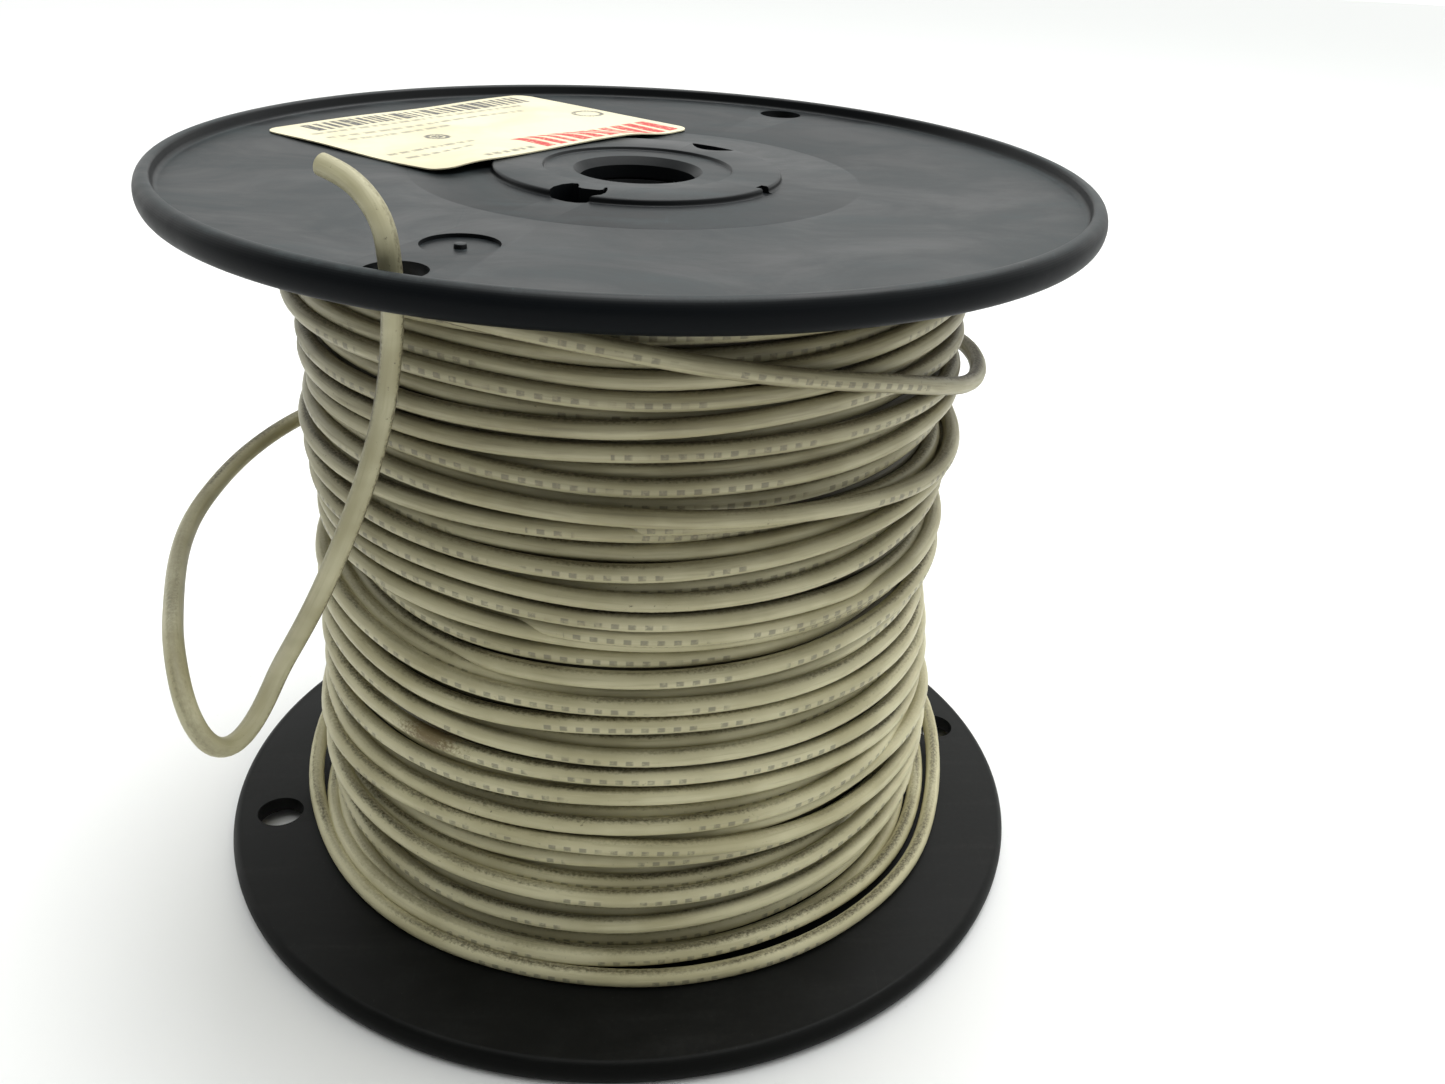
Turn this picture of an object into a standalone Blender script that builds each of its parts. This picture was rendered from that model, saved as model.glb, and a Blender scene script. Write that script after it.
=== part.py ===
"""A spool of electrician's wire: two moulded flanges, a drum, an arbor core, and a part-used winding of wire.

Metres, +Z up. The spool stands on its bottom flange. The origin is on that surface, on the spool's axis.
"""

import math

import bmesh
import bpy
from mathutils import Matrix, Vector

# The spool
FLANGE_RADIUS = 0.08255
SPOOL_HEIGHT = 0.1377
BORE_RADIUS = 0.0103
CLEARANCE = 0.0003
ROUND_STEPS = 64

# The flange moulding. Depths are measured from its outer plane, the top of its rim.
RIM_THICKNESS = 0.0052
RIM_WIDTH = 0.0028
RIM_FLAT = 0.0008
WEB_DEPTH = 0.0022
WEB_THICKNESS = 0.0032
HUB_RADIUS = 0.0256
HUB_RISE = 0.0011
HUB_RECESS_RADIUS = 0.0166
HUB_RECESS_DEPTH = 0.0006
BORE_CHAMFER = 0.0009
SPIGOT_WALL = 0.0020
SPIGOT_LENGTH = 0.0050
SOCKET_WALL = 0.0022
SOCKET_LENGTH = 0.0040
DRIVE_HOLE_RADIUS = 0.0045
DRIVE_HOLE_PITCH_RADIUS = 0.0732
GATE_RADIUS = 0.0058
GATE_PITCH_RADIUS = 0.0576
GATE_DEPTH = 0.0006
GATE_STUB_RADIUS = 0.0008
SLOT_OUTER_RADIUS = 0.0262
SLOT_HALF_ANGLE = math.radians(11)
SLOT_TURNS = (math.radians(3), math.radians(170))
NOTCH_TURN = math.radians(84)
NOTCH_SIZE = 0.0022
TOP_FLANGE_TURN = math.radians(-115.7)
BOTTOM_FLANGE_TURN = math.radians(168)

# The drum and the arbor core inside it
DRUM_RADIUS = 0.0400
DRUM_WALL = 0.0025
ARBOR_WALL = 0.0024
RIB_COUNT = 6
RIB_THICKNESS = 0.0020

# The wire
WIRE_DIAMETER = 0.0031
CONDUCTOR_DIAMETER = 0.0013
CONDUCTOR_BORE_DIAMETER = 0.0019
CONDUCTOR_LENGTH = 0.0050
INNER_LAYERS_RADIUS = 0.0543
WINDING_RADIUS = 0.0605
LOOSE_TURNS_RADIUS = 0.0655
LOOSE_TURNS_HEIGHT = 0.0068
TAIL_SAMPLES = 2

# The free end's route, from the winding's side, out and down in an open loop, up through the top flange's hole
TAIL_ROUTE = (
    (-0.0310, 0.0540, 0.0800),
    (-0.0440, 0.0460, 0.0800),
    (-0.0560, 0.0365, 0.0795),
    (-0.0660, 0.0260, 0.0790),
    (-0.0726, 0.0140, 0.0780),
    (-0.0764, 0.0020, 0.0770),
    (-0.0780, -0.0090, 0.0762),
    (-0.0788, -0.0200, 0.0754),
    (-0.0777, -0.0310, 0.0745),
    (-0.0753, -0.0415, 0.0745),
    (-0.0723, -0.0520, 0.0750),
    (-0.0698, -0.0605, 0.0755),
    (-0.0670, -0.0684, 0.0742),
    (-0.0645, -0.0739, 0.0698),
    (-0.0621, -0.0737, 0.0631),
    (-0.0600, -0.0678, 0.0596),
    (-0.0573, -0.0620, 0.0628),
    (-0.0547, -0.0610, 0.0690),
    (-0.0507, -0.0635, 0.0761),
    (-0.0462, -0.0665, 0.0846),
    (-0.0416, -0.0674, 0.0944),
    (-0.0376, -0.0645, 0.1045),
    (-0.0350, -0.0616, 0.1140),
    (-0.0334, -0.0625, 0.1235),
    (-0.0322, -0.0658, 0.1315),
    (-0.0319, -0.0685, 0.1375),
    (-0.0323, -0.0685, 0.1422),
    (-0.0362, -0.0650, 0.1462),
    (-0.0410, -0.0620, 0.1474),
)

# The paper label on the top flange
LABEL_SIZE = (0.0670, 0.0485)
LABEL_THICKNESS = 0.0003
LABEL_CORNER = 0.0035
LABEL_CENTRE = (-0.0303, 0.0318)
LABEL_TURN = math.radians(49.5)

# Heights that follow from the sizes above
WEB_INNER_DEPTH = WEB_DEPTH + WEB_THICKNESS
BARREL_BOTTOM = WEB_INNER_DEPTH + CLEARANCE
BARREL_TOP = SPOOL_HEIGHT - BARREL_BOTTOM
SPIGOT_RADIUS = DRUM_RADIUS - DRUM_WALL - CLEARANCE
SOCKET_RADIUS = BORE_RADIUS + ARBOR_WALL + CLEARANCE

BLACK_PLASTIC = ("black_plastic", (0.022, 0.023, 0.025), 0.42, 0.0)
CORE_PLASTIC = ("core_plastic", (0.030, 0.031, 0.033), 0.50, 0.0)
INSULATION = ("wire_insulation", (0.62, 0.57, 0.44), 0.45, 0.0)
COPPER = ("copper", (0.72, 0.42, 0.28), 0.35, 1.0)
PAPER = ("label_paper", (0.86, 0.81, 0.62), 0.70, 0.0)


def clear_scene():
    for obj in list(bpy.data.objects):
        bpy.data.objects.remove(obj, do_unlink=True)


def new_collection(name):
    group = bpy.data.collections.new(name)
    bpy.context.scene.collection.children.link(group)
    return group


def material_of(finish):
    """The material of this name, colour, roughness and metallic value, made once."""
    name, colour, roughness, metallic = finish
    if name in bpy.data.materials:
        return bpy.data.materials[name]
    made = bpy.data.materials.new(name)
    made.use_nodes = True
    shader = made.node_tree.nodes["Principled BSDF"]
    shader.inputs["Base Color"].default_value = (*colour, 1.0)
    shader.inputs["Roughness"].default_value = roughness
    shader.inputs["Metallic"].default_value = metallic
    return made


def add_object(name, mesh, group, finish=None):
    obj = bpy.data.objects.new(name, mesh)
    group.objects.link(obj)
    if finish:
        mesh.materials.clear()
        mesh.materials.append(material_of(finish))
        mesh.shade_smooth()
        mesh.set_sharp_from_angle(angle=math.radians(35))
    return obj


def hide_cutter(obj):
    obj.hide_render = True
    obj.display_type = "WIRE"


def turned(name, profile, group, steps=ROUND_STEPS):
    """A closed (radius, height) profile, listed clockwise, turned round the Z axis with a Screw modifier."""
    mesh = bpy.data.meshes.new(name)
    edges = [(i, (i + 1) % len(profile)) for i in range(len(profile))]
    mesh.from_pydata([(radius, 0.0, height) for radius, height in profile], edges, [])
    obj = add_object(name, mesh, group)
    screw = obj.modifiers.new("turn", "SCREW")
    screw.axis = "Z"
    screw.steps = steps
    screw.render_steps = steps
    screw.use_merge_vertices = True
    screw.merge_threshold = 0.00001
    return obj


def baked_mesh(obj, name, weld=0.0):
    """The object's evaluated mesh, as a new mesh."""
    graph = bpy.context.evaluated_depsgraph_get()
    mesh = bpy.data.meshes.new_from_object(obj.evaluated_get(graph))
    mesh.name = name
    if weld:
        work = bmesh.new()
        work.from_mesh(mesh)
        bmesh.ops.remove_doubles(work, verts=work.verts, dist=weld)
        work.to_mesh(mesh)
        work.free()
    return mesh


def turned_solid(name, profile, finish, group):
    """A turned shape as a finished sub-part."""
    source = turned(name + "_profile", profile, group)
    solid = add_object(name, baked_mesh(source, name), group, finish)
    bpy.data.objects.remove(source, do_unlink=True)
    return solid


def cylinder(name, radius, length, group, segments=24):
    """A capped cylinder on the Z axis, centred on the origin."""
    mesh = bpy.data.meshes.new(name)
    work = bmesh.new()
    bmesh.ops.create_cone(
        work, cap_ends=True, segments=segments, radius1=radius, radius2=radius, depth=length
    )
    work.to_mesh(mesh)
    work.free()
    return add_object(name, mesh, group)


def box(name, size, group):
    mesh = bpy.data.meshes.new(name)
    work = bmesh.new()
    bmesh.ops.create_cube(work, size=1.0)
    bmesh.ops.scale(work, vec=size, verts=work.verts)
    work.to_mesh(mesh)
    work.free()
    return add_object(name, mesh, group)


def flat_plate(name, outline, thickness, group):
    """A closed outline of (x, y) points, extruded evenly about z = 0."""
    curve = bpy.data.curves.new(name + "_outline", "CURVE")
    curve.dimensions = "2D"
    curve.fill_mode = "BOTH"
    curve.extrude = thickness / 2
    spline = curve.splines.new("POLY")
    spline.points.add(len(outline) - 1)
    for point, (x, y) in zip(spline.points, outline):
        point.co = (x, y, 0.0, 1.0)
    spline.use_cyclic_u = True
    source = bpy.data.objects.new(name + "_outline", curve)
    group.objects.link(source)
    plate = add_object(name, baked_mesh(source, name, weld=0.000001), group)
    plate.matrix_world = source.matrix_world
    bpy.data.objects.remove(source, do_unlink=True)
    return plate


def add_boolean(obj, cutter, operation):
    modifier = obj.modifiers.new(cutter.name, "BOOLEAN")
    modifier.object = cutter
    modifier.operation = operation
    modifier.solver = "EXACT"
    hide_cutter(cutter)


def on_circle(radius, turn, height=0.0):
    return Vector((radius * math.cos(turn), radius * math.sin(turn), height))


def rim_arc(steps=8):
    """The rim's rounded outer side, from its top flat down to its bottom flat."""
    half = RIM_THICKNESS / 2
    reach = RIM_WIDTH - RIM_FLAT - CLEARANCE
    centre = FLANGE_RADIUS - reach
    for i in range(steps + 1):
        turn = math.pi / 2 - math.pi * i / steps
        yield centre + reach * math.cos(turn), -half + half * math.sin(turn)


def flange_profile():
    """The flange's section, from the bore's top edge out over the rim and back along its inner side."""
    hub_top = -(WEB_DEPTH - HUB_RISE)
    recess = hub_top - HUB_RECESS_DEPTH
    rim_inside = FLANGE_RADIUS - RIM_WIDTH
    yield BORE_RADIUS, recess - BORE_CHAMFER
    yield BORE_RADIUS + BORE_CHAMFER, recess
    yield HUB_RECESS_RADIUS, recess
    yield HUB_RECESS_RADIUS + CLEARANCE, hub_top
    yield HUB_RADIUS - CLEARANCE, hub_top
    yield HUB_RADIUS, hub_top - CLEARANCE
    yield HUB_RADIUS, -WEB_DEPTH
    yield rim_inside - 0.0010, -WEB_DEPTH
    yield rim_inside, -WEB_DEPTH + 0.0008
    yield rim_inside, -CLEARANCE
    yield rim_inside + CLEARANCE, 0.0
    yield from rim_arc()
    yield rim_inside + CLEARANCE, -RIM_THICKNESS
    yield rim_inside - 0.0004, -WEB_INNER_DEPTH
    yield SPIGOT_RADIUS, -WEB_INNER_DEPTH
    yield SPIGOT_RADIUS, -WEB_INNER_DEPTH - SPIGOT_LENGTH
    yield SPIGOT_RADIUS - SPIGOT_WALL, -WEB_INNER_DEPTH - SPIGOT_LENGTH
    yield SPIGOT_RADIUS - SPIGOT_WALL, -WEB_INNER_DEPTH
    yield SOCKET_RADIUS + SOCKET_WALL, -WEB_INNER_DEPTH
    yield SOCKET_RADIUS + SOCKET_WALL, -WEB_INNER_DEPTH - SOCKET_LENGTH
    yield SOCKET_RADIUS, -WEB_INNER_DEPTH - SOCKET_LENGTH
    yield SOCKET_RADIUS, -WEB_INNER_DEPTH
    yield BORE_RADIUS, -WEB_INNER_DEPTH


def lens_outline(radius, half_angle, steps=8):
    """The sliver between a circle and its chord, with the chord bowed a little the other way."""
    chord = radius * math.cos(half_angle)
    half_width = radius * math.sin(half_angle)
    outline = []
    for i in range(steps + 1):
        turn = half_angle * (2 * i / steps - 1)
        outline.append((radius * math.cos(turn), radius * math.sin(turn)))
    for i in range(1, steps):
        share = 1 - 2 * i / steps
        outline.append((chord - 0.0034 * (1 - share * share), half_width * share))
    return outline


def flange_cutters(group):
    """The moulding's two drive holes, two hub slots, hub notch and gate recess, in the moulding's own frame."""
    hub_top = -(WEB_DEPTH - HUB_RISE)
    for i in range(2):
        hole = cylinder(f"drive_hole_cutter_{i}", DRIVE_HOLE_RADIUS, 0.02, group)
        hole.location = on_circle(DRIVE_HOLE_PITCH_RADIUS, math.pi * i)
        yield hole
    for i, turn in enumerate(SLOT_TURNS):
        outline = lens_outline(SLOT_OUTER_RADIUS - 0.0012, SLOT_HALF_ANGLE)
        slot = flat_plate(f"hub_slot_cutter_{i}", outline, 0.02, group)
        slot.rotation_euler.z = turn
        yield slot
    notch = box("hub_notch_cutter", (NOTCH_SIZE, NOTCH_SIZE, 0.0024), group)
    notch.location = on_circle(HUB_RADIUS - 0.0003, NOTCH_TURN, hub_top)
    notch.rotation_euler.z = NOTCH_TURN
    yield notch
    ring = (
        (GATE_STUB_RADIUS, 0.0010),
        (GATE_RADIUS, 0.0010),
        (GATE_RADIUS, -GATE_DEPTH),
        (GATE_STUB_RADIUS, -GATE_DEPTH),
    )
    gate = turned("gate_cutter", ring, group, steps=24)
    gate.location = on_circle(GATE_PITCH_RADIUS, 0.0, -WEB_DEPTH)
    yield gate


def make_flanges(parts, cutters):
    """Both flanges, from one moulding, outer faces away from each other."""
    moulding = turned("flange_moulding", list(flange_profile()), cutters)
    made = list(flange_cutters(cutters))
    for cutter in made:
        add_boolean(moulding, cutter, "DIFFERENCE")
    bpy.context.view_layer.update()
    mesh = baked_mesh(moulding, "flange")
    for source in (*made, moulding):
        bpy.data.objects.remove(source, do_unlink=True)
    top = add_object("top_flange", mesh, parts, BLACK_PLASTIC)
    top.location.z = SPOOL_HEIGHT
    top.rotation_euler.z = TOP_FLANGE_TURN
    bottom = add_object("bottom_flange", mesh, parts, BLACK_PLASTIC)
    bottom.rotation_euler = (math.pi, 0.0, -BOTTOM_FLANGE_TURN)


def ring_profile(inner, outer, low, high, bevel=0.0):
    """A rectangular section, listed clockwise, with its outer corners cut by bevel."""
    if not bevel:
        return [(inner, high), (outer, high), (outer, low), (inner, low)]
    return [
        (inner, high),
        (outer - bevel, high),
        (outer, high - bevel),
        (outer, low + bevel),
        (outer - bevel, low),
        (inner, low),
    ]


def make_drum(parts):
    profile = ring_profile(DRUM_RADIUS - DRUM_WALL, DRUM_RADIUS, BARREL_BOTTOM, BARREL_TOP)
    turned_solid("drum_tube", profile, CORE_PLASTIC, parts)


def make_arbor_core(parts, cutters):
    """The tube that the spool turns on, with the ribs that hold the drum round it."""
    tube = turned(
        "arbor_tube_profile",
        ring_profile(BORE_RADIUS, BORE_RADIUS + ARBOR_WALL, BARREL_BOTTOM, BARREL_TOP),
        cutters,
    )
    root = BORE_RADIUS + ARBOR_WALL / 2
    reach = DRUM_RADIUS - DRUM_WALL - CLEARANCE - root
    height = BARREL_TOP - BARREL_BOTTOM - 2 * (SPIGOT_LENGTH + CLEARANCE)
    ribs = []
    for i in range(RIB_COUNT):
        rib = box(f"rib_{i}", (reach, RIB_THICKNESS, height), cutters)
        turn = 2 * math.pi * i / RIB_COUNT
        rib.location = on_circle(root + reach / 2, turn, SPOOL_HEIGHT / 2)
        rib.rotation_euler.z = turn
        add_boolean(tube, rib, "UNION")
        ribs.append(rib)
    bpy.context.view_layer.update()
    add_object("arbor_core", baked_mesh(tube, "arbor_core"), parts, CORE_PLASTIC)
    for source in (*ribs, tube):
        bpy.data.objects.remove(source, do_unlink=True)


def make_winding(parts):
    """The wound wire: its hidden layers, the layers that show, and the slack turns on the bottom flange."""
    inner = ring_profile(DRUM_RADIUS + CLEARANCE, INNER_LAYERS_RADIUS, BARREL_BOTTOM, BARREL_TOP)
    turned_solid("inner_wire_layers", inner, INSULATION, parts)
    bevel = WIRE_DIAMETER / 2
    outer = ring_profile(
        INNER_LAYERS_RADIUS + CLEARANCE, WINDING_RADIUS, BARREL_BOTTOM, BARREL_TOP, bevel
    )
    turned_solid("outer_wire_layers", outer, INSULATION, parts)
    slack = ring_profile(
        WINDING_RADIUS + CLEARANCE,
        LOOSE_TURNS_RADIUS,
        BARREL_BOTTOM,
        BARREL_BOTTOM + LOOSE_TURNS_HEIGHT,
        bevel,
    )
    turned_solid("slack_bottom_turns", slack, INSULATION, parts)


def smooth_route(route, samples):
    """Points along a cubic B-spline on the route, samples to each span, from its first point to its last."""
    knots = [Vector(p) for p in route]
    knots = [2 * knots[0] - knots[1], *knots, 2 * knots[-1] - knots[-2]]
    points = []
    for a, b, c, d in zip(knots, knots[1:], knots[2:], knots[3:]):
        for i in range(samples):
            t = i / samples
            ahead = b * (3 * t**3 - 6 * t**2 + 4) + c * (1 + 3 * t + 3 * t**2 - 3 * t**3)
            points.append((a * (1 - t) ** 3 + ahead + d * t**3) / 6)
    return [*points, knots[-2]]


def make_tail(parts, cutters):
    """The wire's free end, hollow for its last few millimetres, with the conductor showing in the cut."""
    points = smooth_route(TAIL_ROUTE, TAIL_SAMPLES)
    curve = bpy.data.curves.new("wire_tail_route", "CURVE")
    curve.dimensions = "3D"
    curve.bevel_depth = WIRE_DIAMETER / 2
    curve.bevel_resolution = 2
    curve.use_fill_caps = True
    spline = curve.splines.new("POLY")
    spline.points.add(len(points) - 1)
    for knot, point in zip(spline.points, points):
        knot.co = (*point, 1.0)
    route = bpy.data.objects.new("wire_tail_route", curve)
    cutters.objects.link(route)
    tail = add_object("wire_tail", baked_mesh(route, "wire_tail", weld=0.000001), parts, INSULATION)
    bpy.data.objects.remove(route, do_unlink=True)

    direction = (points[-1] - points[-2]).normalized()
    facing = direction.to_track_quat("Z", "Y").to_matrix().to_4x4()
    radius = CONDUCTOR_BORE_DIAMETER / 2
    bore = cylinder("conductor_bore_cutter", radius, 2 * CONDUCTOR_LENGTH, cutters, 12)
    bore.matrix_world = Matrix.Translation(points[-1]) @ facing
    add_boolean(tail, bore, "DIFFERENCE")
    length = CONDUCTOR_LENGTH - CLEARANCE
    conductor = cylinder("conductor_end", CONDUCTOR_DIAMETER / 2, length, cutters, 12)
    cutters.objects.unlink(conductor)
    parts.objects.link(conductor)
    conductor.data.materials.append(material_of(COPPER))
    conductor.matrix_world = Matrix.Translation(points[-1] - direction * length / 2) @ facing


def rounded_rectangle(size, corner, steps=5):
    outline = []
    for quarter, (side_x, side_y) in enumerate(((1, 1), (-1, 1), (-1, -1), (1, -1))):
        for i in range(steps + 1):
            turn = math.pi / 2 * (quarter + i / steps)
            x = side_x * (size[0] / 2 - corner) + corner * math.cos(turn)
            y = side_y * (size[1] / 2 - corner) + corner * math.sin(turn)
            outline.append((x, y))
    return outline


def make_label(parts, cutters):
    """The label lies on the web, and its one side is cut back to clear the hub's edge."""
    label = flat_plate("label", rounded_rectangle(LABEL_SIZE, LABEL_CORNER), LABEL_THICKNESS, parts)
    label.data.materials.append(material_of(PAPER))
    height = SPOOL_HEIGHT - WEB_DEPTH + CLEARANCE + LABEL_THICKNESS / 2
    label.location = (*LABEL_CENTRE, height)
    label.rotation_euler.z = LABEL_TURN
    hub = cylinder("label_hub_cutter", HUB_RADIUS + CLEARANCE, 0.004, cutters, ROUND_STEPS)
    hub.location.z = height
    add_boolean(label, hub, "DIFFERENCE")


def main():
    clear_scene()
    parts = new_collection("wire_spool")
    cutters = new_collection("cutters")
    make_flanges(parts, cutters)
    make_drum(parts)
    make_arbor_core(parts, cutters)
    make_winding(parts)
    make_tail(parts, cutters)
    make_label(parts, cutters)


main()
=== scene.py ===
"""The looks of a spool of wire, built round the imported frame. Metres, +Z up, the spool's axis on Z."""

import math

import bmesh
import bpy
import numpy as np
from mathutils import Matrix, Vector


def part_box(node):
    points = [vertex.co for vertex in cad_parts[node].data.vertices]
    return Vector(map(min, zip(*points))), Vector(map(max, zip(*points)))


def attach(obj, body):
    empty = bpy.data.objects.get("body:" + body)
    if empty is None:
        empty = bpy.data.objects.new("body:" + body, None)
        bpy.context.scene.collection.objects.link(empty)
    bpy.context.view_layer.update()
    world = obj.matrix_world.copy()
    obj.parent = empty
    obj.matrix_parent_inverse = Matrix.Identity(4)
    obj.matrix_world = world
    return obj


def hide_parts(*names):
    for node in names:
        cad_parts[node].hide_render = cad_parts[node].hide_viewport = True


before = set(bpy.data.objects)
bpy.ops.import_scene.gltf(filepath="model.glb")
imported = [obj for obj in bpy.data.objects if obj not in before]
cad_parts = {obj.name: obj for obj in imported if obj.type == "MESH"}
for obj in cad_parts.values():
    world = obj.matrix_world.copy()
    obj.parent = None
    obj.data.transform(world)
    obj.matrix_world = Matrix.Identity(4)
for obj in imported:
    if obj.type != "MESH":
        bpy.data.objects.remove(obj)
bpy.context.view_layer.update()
MM = 0.001

# The spool, as in the CAD
FLANGE_RADIUS = 0.08255
SPOOL_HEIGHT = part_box("top_flange")[1].z
BORE_RADIUS = 0.0103
RIM_THICKNESS = 0.0052
RIM_WIDTH = 0.0028
RIM_FLAT = 0.0008
WEB_DEPTH = 0.0022
WEB_THICKNESS = 0.0032
WEB_INNER_DEPTH = WEB_DEPTH + WEB_THICKNESS
HUB_RADIUS = 0.0256
HUB_RISE = 0.0011
HUB_TOP = HUB_RISE - WEB_DEPTH
RECESS_RADIUS = 0.0166
RECESS_DEPTH = 0.0006
BORE_LIP_WIDTH = 0.0012
BORE_LIP_DEPTH = 0.0014
GROOVE_RADIUS = 0.03985
# The rings on the web's inner side: inner radius, outer radius, depth
DRUM_RING = (0.0352, 0.0372, 0.0050)
CORE_RING = (0.0130, 0.0152, 0.0040)
DRIVE_HOLE_RADIUS = 0.0045
DRIVE_HOLE_PITCH_RADIUS = 0.0732
GATE_RADIUS = 0.0058
GATE_PITCH_RADIUS = 0.0576
GATE_DEPTH = 0.0006
NUB_RADIUS = 0.0010
NUB_HEIGHT = 0.0007
SLOT_RADIUS = 0.0250
SLOT_HALF_ANGLE = math.radians(11)
SLOT_BOW = 0.0034
NEAR_SLOT_TURN = math.radians(3)
FAR_SLOT_TURN = math.radians(170)
NOTCH_TURN = math.radians(84)
NOTCH_HALF_WIDTH = 0.0011
NOTCH_DEPTH = 0.0012
EDGE_ROUNDING = 0.00022
TOP_FLANGE_TURN = math.radians(-115.7)
BOTTOM_FLANGE_TURN = math.radians(168)
TOP_FLANGE_LEAN = math.radians(0.65)
FLANGE_STEPS = 256

# The camera's angles are in radians, its lens and sensor in millimetres
CAMERA_DISTANCE = 3.2262 * FLANGE_RADIUS
CAMERA_LIFT = 0.4452
CAMERA_AIM_HEIGHT = 0.0693
CAMERA_PAN = -0.0987
CAMERA_TILT = -0.0165
CAMERA_ROLL = -0.0160
CAMERA_SENSOR = 36.0
CAMERA_LENS = 32.858
CAMERA_SHIFT = (-0.02835, -0.00818)

# The wire, as in the CAD
WIRE_RADIUS = 0.00155
CONDUCTOR_BORE_RADIUS = 0.00095
CONDUCTOR_LENGTH = 0.0047
# The cut face: how far back its edge starts, and the flat part's share of the radius
CUT_CHAMFER = 0.00018
CUT_FACE_SHARE = 0.86
STRAND_RADIUS = 0.000125
# The strands' rings: radius, and how many strands
STRAND_RINGS = ((0.0, 1), (0.00026, 6), (0.00052, 12))
TAIL_SAMPLES = 6
TAIL_ROUTE = (
    (-0.0310, 0.0540, 0.0800),
    (-0.0440, 0.0460, 0.0800),
    (-0.0560, 0.0365, 0.0795),
    (-0.0660, 0.0260, 0.0790),
    (-0.0726, 0.0140, 0.0780),
    (-0.0764, 0.0020, 0.0770),
    (-0.0780, -0.0090, 0.0762),
    (-0.0788, -0.0200, 0.0754),
    (-0.0777, -0.0310, 0.0745),
    (-0.0753, -0.0415, 0.0745),
    (-0.0723, -0.0520, 0.0750),
    (-0.0698, -0.0605, 0.0755),
    (-0.0670, -0.0684, 0.0742),
    (-0.0645, -0.0739, 0.0698),
    (-0.0621, -0.0737, 0.0631),
    (-0.0600, -0.0678, 0.0596),
    (-0.0573, -0.0620, 0.0628),
    (-0.0547, -0.0610, 0.0690),
    (-0.0507, -0.0635, 0.0761),
    (-0.0462, -0.0665, 0.0846),
    (-0.0416, -0.0674, 0.0944),
    (-0.0376, -0.0645, 0.1045),
    (-0.0350, -0.0616, 0.1140),
    (-0.0334, -0.0625, 0.1235),
    (-0.0322, -0.0658, 0.1315),
    (-0.0319, -0.0685, 0.1375),
    (-0.0323, -0.0685, 0.1422),
    (-0.0362, -0.0650, 0.1462),
    (-0.0410, -0.0620, 0.1474),
)

# The winding, in millimetres. Each row is one turn across the front: how high it looks on a cylinder of
# LOOK_RADIUS at five places round from left to right, and how far out it lies at its left and right end.
LOOK_RADIUS = 60.5
FRONT_TURNS = (-150, -120, -90, -60, -30)
TURNS = (
    (130.2, 130.3, 130.3, 130.2, 130.2, 0, 0),
    (127.3, 127.2, 127.0, 126.8, 127.0, 0, 0),
    (124.6, 124.9, 125.0, 125.4, 124.8, 0, 0),
    (122.0, 122.5, 121.3, 122.0, 123.0, -1, -1),
    (119.5, 119.5, 118.0, 119.3, 121.5, 0, 0),
    (116.6, 116.5, 114.7, 115.6, 118.0, 0, 0),
    (114.0, 113.2, 112.6, 113.6, 115.0, -1, -1),
    (110.2, 109.9, 110.4, 112.5, 113.0, 0, 0),
    (108.6, 108.3, 108.6, 110.0, 111.0, -2, -2),
    (106.4, 106.1, 106.9, 107.1, 106.6, 0, 0),
    (104.3, 104.3, 103.8, 104.2, 105.0, -1, -1),
    (103.6, 102.7, 100.9, 101.3, 102.8, -1, 0),
    (102.2, 100.2, 98.5, 98.2, 99.8, -1, -1),
    (98.8, 97.5, 96.3, 94.6, 91.3, 0, 2),
    (95.9, 95.3, 94.8, 94.3, 93.5, -1, -1),
    (93.1, 93.5, 93.5, 93.2, 92.0, 0, -2),
    (91.0, 90.7, 90.3, 90.9, 90.5, -1, -1),
    (89.0, 87.5, 86.6, 87.8, 89.5, 0, 0),
    (86.0, 85.2, 83.9, 84.9, 86.5, -1, -1),
    (84.3, 83.7, 81.3, 81.9, 84.5, 0, 0),
    (81.0, 80.0, 77.8, 77.8, 76.8, 0, 0),
    (78.6, 77.7, 74.9, 74.5, 75.6, -1, 0),
    (77.3, 75.7, 74.2, 73.5, 73.5, 0, -1),
    (75.5, 72.0, 71.4, 71.1, 73.3, -1, -1),
    (70.6, 67.9, 67.2, 67.5, 69.8, -0.8, 0.5),
    (68.5, 65.5, 64.6, 64.4, 66.8, -0.5, -0.5),
    (67.0, 62.7, 62.0, 61.3, 62.0, 0, 0),
    (62.0, 57.7, 58.5, 57.7, 56.8, 0.5, 0.5),
    (58.0, 55.7, 55.1, 54.5, 54.5, -1, -1),
    (56.3, 53.3, 51.9, 51.3, 51.7, 0, 0),
    (50.2, 48.7, 48.1, 47.1, 45.8, 0.5, 0.5),
    (48.0, 46.8, 45.9, 45.0, 44.0, -1, -1),
    (43.6, 43.3, 44.1, 43.1, 40.8, 0, 0),
    (40.0, 40.0, 40.7, 40.1, 40.2, -0.5, -0.5),
    (37.0, 37.6, 37.7, 36.7, 38.5, 0, 0),
    (35.0, 35.0, 35.2, 34.6, 36.0, -1, 0),
    (33.3, 33.7, 33.2, 30.1, 29.3, 1, 1),
    (29.0, 29.9, 30.8, 29.5, 28.0, -1, -1),
    (26.9, 27.7, 28.7, 27.0, 27.0, -1, -1),
    (25.5, 26.0, 25.1, 25.7, 26.0, -1, -1),
    (24.7, 22.5, 21.5, 22.1, 25.5, 1, 1),
    (20.0, 19.1, 18.9, 19.0, 20.0, -1, -1),
    (17.0, 15.7, 15.5, 16.9, 18.0, 0.5, 0.5),
    (12.6, 12.1, 12.8, 13.5, 14.0, -1, -1),
    (9.0, 8.8, 8.8, 8.8, 9.0, 0, 0),
)
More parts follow.
